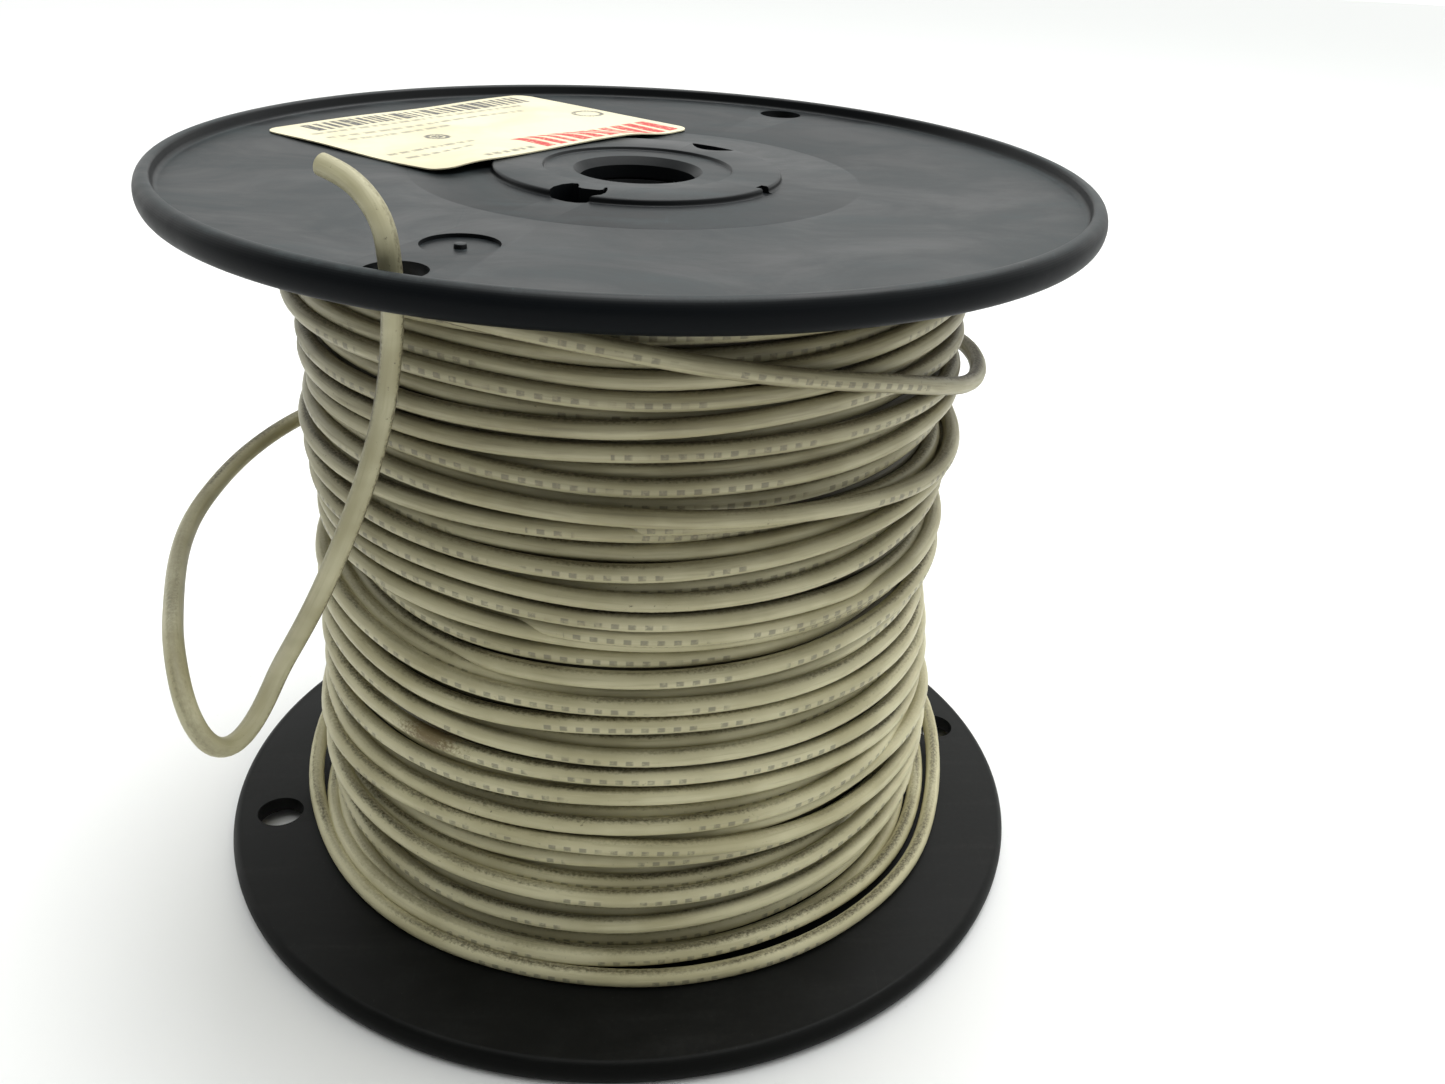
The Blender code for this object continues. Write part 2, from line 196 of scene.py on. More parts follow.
# The way from one row to the next, round the back: share of it, place round
BACK_TURNS = ((0.25, 30), (0.5, 90), (0.75, 150))
LEVEL_RADIUS = 59.15
LEVEL_STEP = 1.67
TURN_STEPS = 120
STEP_DEGREES = 360 / TURN_STEPS
FIRST_TURN = -210
LOWEST_TURN = 7.0
HIGHEST_TURN = 130.0
INNERMOST = 55.3
OUTERMOST = 62.3
SETTLED_GAP = 3.02
SETTLING_ROUNDS = 90
SETTLING_PUSH = 0.28
SETTLING_PULL = 0.03
# The camera's height, and its distance from the winding's near side
EYE_HEIGHT = 184
EYE_DISTANCE = 180
# The least and greatest radius of the layer underneath
UNDER_RADIUS = (52.4, 57.5)
# Where the coil is drawn in: place round, middle height, half height, depth
WAISTS = ((-168, 72, 13, 2.2), (-12, 80, 17, 1.5), (-12, 60, 6, 1.6))
WAIST_HALF_WIDTH = 32

# The turn that crosses the others: place round, height, least radius
CROSSING_TURN = (
    (-232, 127.5, 57.0),
    (-200, 128.0, 59.0),
    (-170, 128.0, 60.5),
    (-140, 127.8, 61.0),
    (-118, 126.9, 61.5),
    (-110, 125.8, 62.0),
    (-100, 124.6, 62.0),
    (-90, 122.9, 62.0),
    (-80, 120.8, 62.0),
    (-70, 118.7, 62.0),
    (-60, 116.5, 62.0),
    (-50, 114.3, 62.0),
    (-40, 111.2, 62.2),
    (-30, 108.0, 62.8),
    (-20, 105.4, 63.8),
    (-8, 104.2, 64.8),
    (5, 103.6, 65.2),
    (20, 102.0, 64.6),
    (45, 97.0, 63.0),
    (75, 89.0, 62.3),
    (100, 82.0, 62.2),
    (112, 80.2, 62.2),
)
# Where the crossing turn lies on the others, and the shortest step that it keeps, in metres
CROSSING_LIES = (-165, 100)
SHORTEST_STEP = 0.0008

# The slack turns on the bottom flange: place round, radius, height
SLACK_TURNS = (
    (-250, 57.0, 13.0),
    (-225, 60.0, 11.5),
    (-200, 61.8, 9.2),
    (-169, 62.3, 7.6),
    (-150, 62.0, 8.2),
    (-130, 61.9, 9.0),
    (-100, 61.9, 9.1),
    (-60, 61.9, 9.6),
    (-46, 61.8, 8.6),
    (-35, 61.9, 7.5),
    (-15, 62.5, 7.2),
    (-3, 63.8, 7.2),
    (8, 65.2, 9.2),
    (22, 64.6, 13.0),
    (60, 63.4, 15.0),
    (100, 63.2, 17.0),
    (140, 64.4, 18.5),
    (160, 66.2, 17.6),
    (170, 67.5, 13.2),
    (181, 67.0, 8.4),
    (197, 64.8, 7.0),
    (210, 64.3, 7.0),
    (235, 64.2, 7.0),
    (250, 63.9, 7.0),
    (265, 64.3, 7.0),
    (275, 65.0, 7.0),
    (295, 65.5, 7.0),
    (315, 65.8, 7.0),
    (330, 66.3, 7.0),
    (345, 66.2, 7.0),
    (358, 67.8, 7.6),
    (367, 69.6, 10.8),
    (375, 69.8, 15.0),
    (390, 67.0, 20.5),
    (410, 63.4, 26.0),
    (432, 60.0, 30.0),
    (450, 57.0, 32.0),
)

# The plastics: base colour, share of dust, the dust's colour, roughness, gloss
DUSTY_BLACK = ((0.0045, 0.0055, 0.0065), 0.30, (0.078, 0.100, 0.104), 0.38, 0.20)
CLEAN_BLACK = ((0.004, 0.0044, 0.004), 0.07, (0.08, 0.08, 0.075), 0.44, 0.12)
CORE_BLACK = ((0.028, 0.029, 0.031), 0.15, (0.12, 0.12, 0.12), 0.5, 0.3)

# The wire's marks: worn printing, dirt, painted shade in its crevices and under the top flange, and one brown
# stain
PRINT_REPEAT = 0.137
PRINT_PITCH = 0.0026
PRINT_COLOUR = (0.11, 0.105, 0.085)
CREVICE_GRIME_AND_SHADE_COLOUR = (0.055, 0.043, 0.018)
SPECK_COLOUR = (0.09, 0.075, 0.045)
SOIL_AND_FLANGE_SHADE_COLOUR = (0.10, 0.080, 0.044)
STAIN_COLOUR = (0.125, 0.075, 0.016)
STAIN_PLACE = (-0.0338, -0.0502, 0.0493)
STAIN_STRETCH = (0.6, 0.6, 1.3)

# The label on the top flange
LABEL_SIZE = (0.0678, 0.0493)
LABEL_CORNER = 0.0035
LABEL_CENTRE = (-0.0298, 0.0319)
LABEL_TURN = math.radians(49.5)
LABEL_CELL = 0.0004
LABEL_THICKNESS = 0.00022
BLACK_INK = (0.07, 0.07, 0.07)
RED_INK = (0.55, 0.035, 0.03)
# The rows of small grey blocks, in millimetres: height, start, end
WORD_ROWS = ((14.2, -30, 22), (9.8, -30, 20), (6.2, -28, -5), (-8.0, -31, -12), (-12.0, -30, -16))
# How soft a printed block's edge is, in millimetres
INK_EDGE = 0.15
# How the sheet lies, in millimetres
SHEET_GAP = 0.24
CLIMB_START = 37.5
CLIMB_LENGTH = 11.7
LIFTED_CORNER = (-33.9, -24.6)
CORNER_LIFT = 0.35
CORNER_REACH = 16
SHEET_WAVE = 0.10


def add_camera():
    """The camera, a little above the spool and aimed near its middle."""
    place = CAMERA_DISTANCE * Vector((0.0, -math.cos(CAMERA_LIFT), math.sin(CAMERA_LIFT)))
    ahead = -place.normalized()
    right = Vector((1.0, 0.0, 0.0))
    up = right.cross(ahead)
    pan = Matrix.Rotation(CAMERA_PAN, 3, up)
    ahead, right = pan @ ahead, pan @ right
    tilt = Matrix.Rotation(CAMERA_TILT, 3, right)
    ahead, up = tilt @ ahead, tilt @ up
    roll = Matrix.Rotation(CAMERA_ROLL, 3, ahead)
    right, up = roll @ right, roll @ up
    data = bpy.data.cameras.new("camera")
    data.sensor_width = CAMERA_SENSOR
    data.lens = CAMERA_LENS
    data.shift_x, data.shift_y = CAMERA_SHIFT
    data.clip_start = 0.01
    data.clip_end = 20.0
    camera = bpy.data.objects.new("camera", data)
    bpy.context.scene.collection.objects.link(camera)
    facing = Matrix((right, up, -ahead)).transposed().to_4x4()
    camera.matrix_world = Matrix.Translation(place + Vector((0, 0, CAMERA_AIM_HEIGHT))) @ facing
    bpy.context.scene.camera = camera


def add_piece(name, mesh, material, nodes=()):
    """A piece of the spool, which rides on its one body and may stand for CAD nodes."""
    obj = bpy.data.objects.new(name, mesh)
    bpy.context.scene.collection.objects.link(obj)
    mesh.materials.clear()
    mesh.materials.append(material)
    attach(obj, "root")
    if nodes:
        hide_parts(*nodes)
    return obj


# Node helpers


def new_material(name):
    made = bpy.data.materials.new(name)
    made.use_nodes = True
    return made, made.node_tree, made.node_tree.nodes["Principled BSDF"]


def node(tree, kind, inputs, **settings):
    made = tree.nodes.new(kind)
    for key, value in settings.items():
        setattr(made, key, value)
    for socket, value in inputs.items():
        if isinstance(value, bpy.types.NodeSocket):
            tree.links.new(value, made.inputs[socket])
        else:
            made.inputs[socket].default_value = value
    return made


def calc(tree, operation, a, b=0.0):
    return node(tree, "ShaderNodeMath", {0: a, 1: b}, operation=operation).outputs[0]


def times(tree, value, *others):
    for other in others:
        value = calc(tree, "MULTIPLY", value, other)
    return value


def plus(tree, value, *others):
    for other in others:
        value = calc(tree, "ADD", value, other)
    return value


def off_by(tree, value, middle):
    """How far the value is from the middle, either way."""
    return calc(tree, "ABSOLUTE", calc(tree, "SUBTRACT", value, middle))


def fit(tree, value, low, high, to_low=0.0, to_high=1.0):
    """value, from low to high, eased to between to_low and to_high."""
    inputs = {"Value": value, "From Min": low, "From Max": high, "To Min": to_low, "To Max": to_high}
    return node(tree, "ShaderNodeMapRange", inputs, interpolation_type="SMOOTHSTEP").outputs[0]


def noise(tree, vector, frequency, detail=3.0, roughness=0.55, distortion=0.0):
    """Noise with its own frequency along each axis, in cycles to the metre."""
    inputs = {
        "Vector": scaled(tree, vector, frequency),
        "Scale": 1.0,
        "Detail": detail,
        "Roughness": roughness,
        "Distortion": distortion,
    }
    return node(tree, "ShaderNodeTexNoise", inputs).outputs[0]


def mixed(tree, share, a, b):
    """Colour a, and b by share. A plain colour is a tuple of three."""
    made = node(tree, "ShaderNodeMix", {0: share}, data_type="RGBA")
    for socket, value in ((6, a), (7, b)):
        if isinstance(value, bpy.types.NodeSocket):
            tree.links.new(value, made.inputs[socket])
        else:
            made.inputs[socket].default_value = (*value, 1.0)
    return made.outputs[2]


def position(tree):
    return node(tree, "ShaderNodeNewGeometry", {}).outputs["Position"]


def attribute(tree, name, output):
    return node(tree, "ShaderNodeAttribute", {}, attribute_name=name).outputs[output]


def separated(tree, vector):
    return node(tree, "ShaderNodeSeparateXYZ", {0: vector}).outputs


def scaled(tree, vector, scale):
    made = node(tree, "ShaderNodeVectorMath", {0: vector, 1: scale}, operation="MULTIPLY")
    return made.outputs[0]


def length(tree, vector):
    return node(tree, "ShaderNodeVectorMath", {0: vector}, operation="LENGTH").outputs["Value"]


def bumped(tree, shader, height, distance, strength):
    made = node(tree, "ShaderNodeBump", {"Height": height, "Distance": distance, "Strength": strength})
    tree.links.new(made.outputs[0], shader.inputs["Normal"])


# Materials


def wire_printing(tree, strand, grain):
    """How dark the worn printing is: short rough dashes on the outer side, for part of each stretch."""
    along, out, side = separated(tree, strand)
    facing = times(tree, fit(tree, off_by(tree, side, 0.10), 0.34, 0.26), fit(tree, out, 0.0, 0.2))
    stretch = calc(tree, "FRACT", calc(tree, "DIVIDE", along, PRINT_REPEAT))
    dash = calc(tree, "FRACT", calc(tree, "DIVIDE", along, PRINT_PITCH))
    word = noise(tree, strand, (95.0, 0.2, 0.2), 1.0)
    inked = times(tree, fit(tree, stretch, 0.50, 0.48), fit(tree, dash, 0.58, 0.46))
    inked = times(tree, inked, fit(tree, dash, 0.02, 0.10), fit(tree, word, 0.40, 0.46))
    inked = times(tree, inked, fit(tree, grain, 0.66, 0.48, 0.35, 1.0))
    return times(tree, inked, facing, 0.58)


def wire_soil_and_flange_shade(tree, colour, place, out, streak, jag):
    """The colour, darker on the upper turns: dirt, and painted shade under the top flange. With one brown
    stain low on the near left.
    """
    height = separated(tree, place)[2]
    # Painted shade under the top flange, with dirt: darker with height, less on each turn's outer side
    soil_and_flange_shade = times(tree, fit(tree, height, 0.038, 0.128, 0.0, 0.85), fit(tree, out, 0.2, 0.95, 1.0, 0.72))
    soil_and_flange_shade = times(tree, soil_and_flange_shade, fit(tree, streak, 0.25, 0.75, 0.6, 1.0))
    colour = mixed(tree, soil_and_flange_shade, colour, SOIL_AND_FLANGE_SHADE_COLOUR)

    away = node(tree, "ShaderNodeVectorMath", {0: place, 1: STAIN_PLACE}, operation="SUBTRACT").outputs[0]
    apart = length(tree, scaled(tree, away, STAIN_STRETCH))
    blurred = plus(tree, apart, times(tree, calc(tree, "SUBTRACT", jag, 0.5), 0.009))
    return mixed(tree, fit(tree, blurred, 0.0050, 0.0012, 0.0, 0.8), colour, STAIN_COLOUR)


def wire_material(name, dirt_and_crevice_shade, base, shade, soiled_and_shaded=True):
    """PVC insulation: streaks, dirt and painted shade in the crevices where it lies against its neighbours,
    rubbed marks and worn printing.
    """
    made, tree, shader = new_material(name)
    strand = attribute(tree, "strand", "Vector")
    _, out, side = separated(tree, strand)
    place = position(tree)
    blotch = noise(tree, place, (55, 55, 90), 3.0)
    streak = noise(tree, strand, (70.0, 2.2, 2.2), 4.0, 0.6)
    grain = noise(tree, strand, (900.0, 1.6, 1.6), 4.0, 0.65)
    jag = noise(tree, strand, (1500.0, 3.0, 3.0), 3.0, 0.7)
    patch = noise(tree, strand, (26.0, 0.6, 0.6), 2.0)

    worn = tuple(0.80 * v for v in shade)
    pale = tuple(min(1.0, 1.16 * v) for v in base)
    colour = mixed(tree, fit(tree, blotch, 0.35, 0.68), base, shade)
    colour = mixed(tree, fit(tree, streak, 0.50, 0.78, 0.0, 0.55), colour, worn)
    colour = mixed(tree, fit(tree, streak, 0.42, 0.20, 0.0, 0.5), colour, pale)

    # Painted shade and dirt in the crevices where the wire lies against its neighbours
    ragged = times(tree, calc(tree, "SUBTRACT", jag, 0.5), 0.55)
    edge = plus(tree, calc(tree, "ABSOLUTE", side), ragged, times(tree, side, 0.10))
    crevice_grime_and_shade = times(tree, fit(tree, edge, 0.66, 1.02), fit(tree, patch, 0.40, 0.62, 0.25, 1.0))
    colour = mixed(tree, times(tree, crevice_grime_and_shade, dirt_and_crevice_shade), colour, CREVICE_GRIME_AND_SHADE_COLOUR)
    speck = times(tree, fit(tree, grain, 0.64, 0.74), fit(tree, patch, 0.50, 0.70))
    colour = mixed(tree, times(tree, speck, dirt_and_crevice_shade), colour, SPECK_COLOUR)
    colour = mixed(tree, wire_printing(tree, strand, grain), colour, PRINT_COLOUR)
    if soiled_and_shaded:
        colour = wire_soil_and_flange_shade(tree, colour, place, out, streak, jag)
    tree.links.new(colour, shader.inputs["Base Color"])

    rough = plus(tree, fit(tree, streak, 0.25, 0.75, 0.40, 0.56), times(tree, crevice_grime_and_shade, 0.2))
    tree.links.new(rough, shader.inputs["Roughness"])
    shader.inputs["Specular IOR Level"].default_value = 0.45
    bumped(tree, shader, plus(tree, times(tree, grain, 0.35), streak), 0.00007, 0.8)
    return made


def plastic_material(name, base, dust, dust_colour, roughness, gloss):
    """Moulded black plastic: flow marks, rub marks, and dust on the faces that look up."""
    made, tree, shader = new_material(name)
    place = position(tree)
    normal = node(tree, "ShaderNodeNewGeometry", {}).outputs["True Normal"]
    lift = separated(tree, normal)[2]
    far = length(tree, scaled(tree, place, (1, 1, 0)))
    # The rim's outer side is the dullest
    facing_up = fit(tree, lift, 0.2, 0.95, 0.05, gloss)
    within_rim = fit(tree, far, 0.0818, 0.0806, 0.05, gloss)
    tree.links.new(calc(tree, "MAXIMUM", facing_up, within_rim), shader.inputs["Specular IOR Level"])
    cloud = noise(tree, place, (34, 50, 60), 5.0, 0.62, 0.6)
    smear = noise(tree, place, (28, 190, 60), 4.0, 0.6, 0.5)
    fine = noise(tree, place, (900, 900, 900), 3.0, 0.7)
    speck = noise(tree, place, (1500, 1500, 1500), 2.0, 0.5)
    scratch = noise(tree, place, (1400, 40, 200), 2.0, 0.5, 0.4)

    film = plus(tree, fit(tree, cloud, 0.35, 0.70, 0.10, 0.9), fit(tree, smear, 0.5, 0.72, 0.0, 0.6))
    # The dust film is thinner, and the web darker, in a ring at the foot of the hub's edge
    by_hub = fit(tree, off_by(tree, far, HUB_RADIUS + 0.0006), 0.0, 0.0022, 0.3, 1.0)
    film = times(tree, film, by_hub, fit(tree, fine, 0.3, 0.7, 0.65, 1.2))
    bits = fit(tree, speck, 0.70, 0.76, 0.0, 1.6)
    lines = fit(tree, scratch, 0.70, 0.76, 0.0, 0.5)
    cover = times(tree, plus(tree, film, bits, lines), fit(tree, lift, 0.55, 0.95), dust)
    cover = calc(tree, "MINIMUM", cover, 1.0)
    tree.links.new(mixed(tree, cover, base, dust_colour), shader.inputs["Base Color"])
    uneven = fit(tree, cloud, 0.3, 0.7, roughness - 0.05, roughness + 0.08)
    tree.links.new(plus(tree, uneven, times(tree, cover, 0.25)), shader.inputs["Roughness"])
    bumped(tree, shader, plus(tree, times(tree, fine, 0.3), cloud), 0.00005, 0.6)
    return made


def paper_material():
    """A printed paper label, a little stained, with its ink in two attributes."""
    made, tree, shader = new_material("label_paper")
    place = position(tree)
    black = attribute(tree, "black_ink", "Fac")
    red = attribute(tree, "red_ink", "Fac")
    stain = noise(tree, place, (45, 45, 45), 4.0, 0.6, 0.4)
    fibre = noise(tree, place, (1200, 1200, 1200), 3.0, 0.6)
    colour = mixed(tree, fit(tree, stain, 0.35, 0.7), (0.80, 0.74, 0.52), (0.66, 0.60, 0.40))
    colour = mixed(tree, fit(tree, fibre, 0.35, 0.75, 0.0, 0.25), colour, (0.62, 0.56, 0.42))
    wear = fit(tree, fibre, 0.30, 0.50, 0.45, 1.0)
    colour = mixed(tree, times(tree, black, wear), colour, BLACK_INK)
    colour = mixed(tree, times(tree, red, wear), colour, RED_INK)
    tree.links.new(colour, shader.inputs["Base Color"])
    shader.inputs["Roughness"].default_value = 0.62
    bumped(tree, shader, plus(tree, stain, times(tree, fibre, 0.2)), 0.0002, 0.5)
    return made


def copper_material():
    made, tree, shader = new_material("copper_strands")
    tarnish = noise(tree, position(tree), (900, 900, 900), 3.0)
    colour = mixed(tree, fit(tree, tarnish, 0.35, 0.7), (0.80, 0.42, 0.25), (0.42, 0.22, 0.13))
    tree.links.new(colour, shader.inputs["Base Color"])
    shader.inputs["Metallic"].default_value = 1.0
    tree.links.new(fit(tree, tarnish, 0.3, 0.7, 0.28, 0.5), shader.inputs["Roughness"])
    bumped(tree, shader, tarnish, 0.00003, 0.5)
    return made


def floor_material():
    made, tree, shader = new_material("white_table")
    place = position(tree)
    speck = noise(tree, place, (420, 420, 420), 2.0)
    drift = noise(tree, place, (9, 9, 9), 2.0)
    share = times(tree, fit(tree, speck, 0.70, 0.78), fit(tree, drift, 0.52, 0.7), 0.35)
    colour = mixed(tree, share, (0.90, 0.905, 0.90), (0.55, 0.56, 0.53))
    tree.links.new(colour, shader.inputs["Base Color"])
    shader.inputs["Roughness"].default_value = 0.6
    return made


# The wire


def smooth_route(route, samples):
    """Points along a cubic B-spline on the route, samples to each span, from its first point to its last."""
    knots = [Vector(p) for p in route]
    knots = [2 * knots[0] - knots[1], *knots, 2 * knots[-1] - knots[-2]]
    points = []
    for a, b, c, d in zip(knots, knots[1:], knots[2:], knots[3:]):
        for i in range(samples):
            t = i / samples
            ahead = b * (3 * t**3 - 6 * t**2 + 4) + c * (1 + 3 * t + 3 * t**2 - 3 * t**3)
            points.append((a * (1 - t) ** 3 + ahead + d * t**3) / 6)
    return [*points, knots[-2]]


def normalised(vectors):
    return vectors / np.linalg.norm(vectors, axis=-1, keepdims=True)


def carried(points, first):
    """A direction across the route at each point, starting from first and turned as little as possible."""
    tangents = normalised(np.gradient(points, axis=0))
    side = first - tangents[0] * (first @ tangents[0])
    sides = []
    for tangent in tangents:
        side = side - tangent * (side @ tangent)
        side = side / np.linalg.norm(side)
        sides.append(side)
    return np.array(sides)


def face_outward(mesh):
    work = bmesh.new()
    work.from_mesh(mesh)
    bmesh.ops.recalc_face_normals(work, faces=work.faces)
    work.to_mesh(mesh)
    work.free()


def smooth(mesh, sharp_degrees):
    mesh.shade_smooth()
    mesh.set_sharp_from_angle(angle=math.radians(sharp_degrees))


def hollow_end_rings(point, ahead, around, radius):
    """The rings that close a cut tube: the cut face's edge, the bore's mouth and its floor."""
    bore = CONDUCTOR_BORE_RADIUS / radius
    shapes = ((0.0, CUT_FACE_SHARE), (0.0, bore), (CONDUCTOR_LENGTH, bore))
    return [point - back * ahead + share * radius * around for back, share in shapes]


def tube_mesh(name, runs, sides, hollow_end=False):
    """Closed tubes. A run is its points, the outward direction at each point, and its radius. The strand
    attribute holds each vertex's distance along, and its place round: out, side."""
    vertices, faces, strand = [], [], []
    turns = 2 * np.pi * np.arange(sides) / sides
    wave = np.stack([np.cos(turns), np.sin(turns)], axis=1)
    first = 0
    for points, outward, radius in runs:
        points = np.asarray(points, float)
        tangent = normalised(np.gradient(points, axis=0))
        outward = normalised(outward - tangent * np.sum(outward * tangent, axis=1, keepdims=True))
        across = np.cross(tangent, outward)
        around = wave[None, :, :1] * outward[:, None] + wave[None, :, 1:] * across[:, None]
        rings = points[:, None] + radius * around
        along = np.concatenate([[0], np.cumsum(np.linalg.norm(np.diff(points, axis=0), axis=1))])
        if hollow_end:
            extra = hollow_end_rings(points[-1], tangent[-1], around[-1], radius)
            rings[-1] -= CUT_CHAMFER * tangent[-1]
            rings = np.concatenate([rings, extra])
            along = np.concatenate([along, [along[-1]] * len(extra)])
        count = len(rings)
        vertices.append(rings.reshape(-1, 3))
        place = np.empty((count, sides, 3))
        place[..., 0] = along[:, None]
        place[..., 1:] = wave[None]
        strand.append(place.reshape(-1, 3))
        ring, step = np.meshgrid(np.arange(count - 1), np.arange(sides), indexing="ij")
        here, ahead = ring * sides + step, ring * sides + (step + 1) % sides
        quads = np.stack([here, ahead, ahead + sides, here + sides], axis=-1).reshape(-1, 4) + first
        faces.extend(quads[:, ::-1].tolist())
        faces.append([first + i for i in range(sides)])
        faces.append([first + (count - 1) * sides + i for i in reversed(range(sides))])
        first += count * sides
    mesh = bpy.data.meshes.new(name)
    mesh.from_pydata(np.concatenate(vertices).tolist(), [], faces)
    mesh.attributes.new("strand", "FLOAT_VECTOR", "POINT").data.foreach_set(
        "vector", np.concatenate(strand).astype(np.float32).ravel()
    )
    face_outward(mesh)
    smooth(mesh, 50)
    return mesh


def eased(values, reach):
    """The values, smoothed over reach samples to each side. Its ends keep their place."""
    weights = np.hanning(2 * reach + 3)[1:-1]
    weights /= weights.sum()
    before = 2 * values[0] - values[reach:0:-1]
    after = 2 * values[-1] - values[-2 : -reach - 2 : -1]
    return np.convolve(np.concatenate([before, values, after]), weights, mode="valid")


def wander(turns, seed, size, waves=7):
    """A slow, even wandering, the same on every run."""
    rng = np.random.default_rng(seed)
    total = np.zeros_like(turns, dtype=float)
    for _ in range(waves):
        total += np.sin(turns * rng.uniform(0.6, 3.4) * np.pi / 180 + rng.uniform(0, 2 * np.pi))
    return size * total / math.sqrt(waves / 2)


def true_height(look, radius):
    """The real height of a turn that looks that high on the cylinder, seen from the camera."""
    return look - (LOOK_RADIUS - radius) * (EYE_HEIGHT - look) / EYE_DISTANCE


def round_points(turns, radius, height):
    """Millimetres round the axis to metres, with the outward direction at each point."""
    angle = np.radians(turns)
    outward = np.stack([np.cos(angle), np.sin(angle), np.zeros_like(angle)], axis=1)
    points = outward * radius[:, None]
    points[:, 2] = height
    return points * MM, outward


def coil_waist(turns, look):
    """How far the coil is drawn in at its waists."""
    drawn_in = np.zeros_like(look)
    for side, middle, half, depth in WAISTS:
        away = (turns - side + 180) % 360 - 180
        far = (away / WAIST_HALF_WIDTH) ** 2 + ((look - middle) / half) ** 2
        drawn_in += depth * np.exp(-far)
    return drawn_in


def turn_knots():
    """The rows joined into one wire by turns round the back: place round, look, and how far out."""
    knots, looks, levels = [], [], []
    last = len(FRONT_TURNS) - 1
    for i, row in enumerate(TURNS):
        left, right = row[5:]
        for j, (turn, look) in enumerate(zip(FRONT_TURNS, row)):
            knots.append(turn + 360 * i)
            looks.append(look)
            levels.append(left + (right - left) * j / last)
        if i + 1 < len(TURNS):
            following = TURNS[i + 1]
            for share, turn in BACK_TURNS:
                knots.append(turn + 360 * i)
                looks.append(row[4] + (following[0] - row[4]) * share)
                levels.append(right + (following[5] - right) * share)
    return knots, looks, levels


def pushed_apart(radius, height, ranked):
    """How far each turn moves so that it sinks less into its neighbours. Of two neighbours, the one ranked
    higher lies further out. Where they change places, neither does, and the one dips under the other."""
    move = np.zeros_like(radius)
    for step in (1, 2, 3):
        apart = height[:-step] - height[step:]
        need = np.sqrt(np.clip(SETTLED_GAP**2 - apart**2, 0, None))
        order = np.tanh((ranked[:-step] - ranked[step:]) / 0.3)
        short = np.clip(need - (radius[:-step] - radius[step:]) * np.sign(order), 0, None) * order
        move[:-step] += SETTLING_PUSH * short
        move[step:] -= SETTLING_PUSH * short
    return move


def settled_turns():
    """The visible turns' places round, radius and height: one continuous wire, with a row for each turn."""
    rows = len(TURNS)
    turns = FIRST_TURN + STEP_DEGREES * np.arange(rows * TURN_STEPS)
    knots, looks, levels = turn_knots()
    look = eased(np.interp(turns, knots, looks), 5)
    # The turns wander more behind, where only their ends are known
    behind = np.clip((np.cos(np.radians(turns - 90)) + 0.35) / 0.9, 0, 1)
    look = look + behind * wander(turns, 3, 0.25) + wander(turns, 4, 0.07)
    common = wander(np.mod(turns, 360), 11, 1.0)
    look = look + behind * common * np.interp(look, [7.8, 16, 122, 130], [0, 0.8, 0.8, 0])
    wanted = LEVEL_RADIUS + LEVEL_STEP * eased(np.interp(turns, knots, levels), 6)
    wanted = (wanted + wander(turns, 5, 0.12)).reshape(rows, TURN_STEPS)
    look = look.reshape(rows, TURN_STEPS)
    waist = coil_waist(turns.reshape(rows, TURN_STEPS), look)
    wanted = wanted - waist
    ranked = wanted + np.where(np.arange(rows) % 2, 0.09, -0.09)[:, None]
    radius = wanted
    for _ in range(SETTLING_ROUNDS):
        height = np.clip(true_height(look, radius), LOWEST_TURN, HIGHEST_TURN)
        radius = radius + pushed_apart(radius, height, ranked) + SETTLING_PULL * (wanted - radius)
        flat = np.clip(radius, INNERMOST - 0.5 * waist, OUTERMOST - 1.1 * waist).ravel()
        flat = np.concatenate([flat[:1], (flat[:-2] + 2 * flat[1:-1] + flat[2:]) / 4, flat[-1:]])
        radius = flat.reshape(rows, TURN_STEPS)
    height = np.clip(true_height(look, radius), LOWEST_TURN, HIGHEST_TURN)
    return turns, radius, height


def turns_beside(place_round, high, radius, height):
    """The visible turns' radius at each place round, how far off them a wire lies, and which it touches."""
    columns = np.mod(np.rint((place_round - FIRST_TURN) / STEP_DEGREES).astype(int), TURN_STEPS)
    apart = height[:, columns] - high
    clear = np.sqrt(np.clip(SETTLED_GAP**2 - apart**2, 0, None))
    return radius[:, columns], clear, np.abs(apart) < SETTLED_GAP


def crossing_run(radius, height):
    """The turn that crosses the others. It lies on what is under it, and ends where the free end starts."""
    knots = np.array(CROSSING_TURN, float)
    start = np.array(TAIL_ROUTE[0]) / MM
    end = (math.degrees(math.atan2(start[1], start[0])), start[2], math.hypot(start[0], start[1]))
    knots = np.concatenate([knots, [end]])
    turns = np.arange(knots[0, 0], end[0], STEP_DEGREES)
    high = eased(np.interp(turns, knots[:, 0], knots[:, 1]), 3)
    least = eased(np.interp(turns, knots[:, 0], knots[:, 2]), 3)
    beside, clear, touching = turns_beside(turns, high, radius, height)
    reach = np.where(touching, beside + clear, 0).max(axis=0)
    first, last = CROSSING_LIES
    lay = np.where((turns > first) & (turns < last), np.maximum(least, reach), least)
    for _ in range(3):
        lay = np.maximum(eased(lay, 2), np.where((turns > first + 5) & (turns < last - 4), reach - 0.05, 0))
    points, outward = round_points(turns, eased(lay, 2), high)
    last = np.array(TAIL_ROUTE[0])
    points = np.concatenate([points, [last + (last - TAIL_ROUTE[1]) * 0.15, last]])
    outward = np.concatenate([outward, [outward[-1], outward[-1]]])
    keep = np.concatenate([[True], np.linalg.norm(np.diff(points, axis=0), axis=1) > SHORTEST_STEP])
    keep[-1] = True
    return points[keep], outward[keep]


def slack_run():
    """The slack turns, through their knots."""
    knots = np.array(SLACK_TURNS, float)
    turns = np.arange(knots[0, 0], knots[-1, 0], STEP_DEGREES)
    radius = eased(np.interp(turns, knots[:, 0], knots[:, 1]), 3)
    height = eased(np.interp(turns, knots[:, 0], knots[:, 2]), 3)
    return round_points(turns, radius, height)


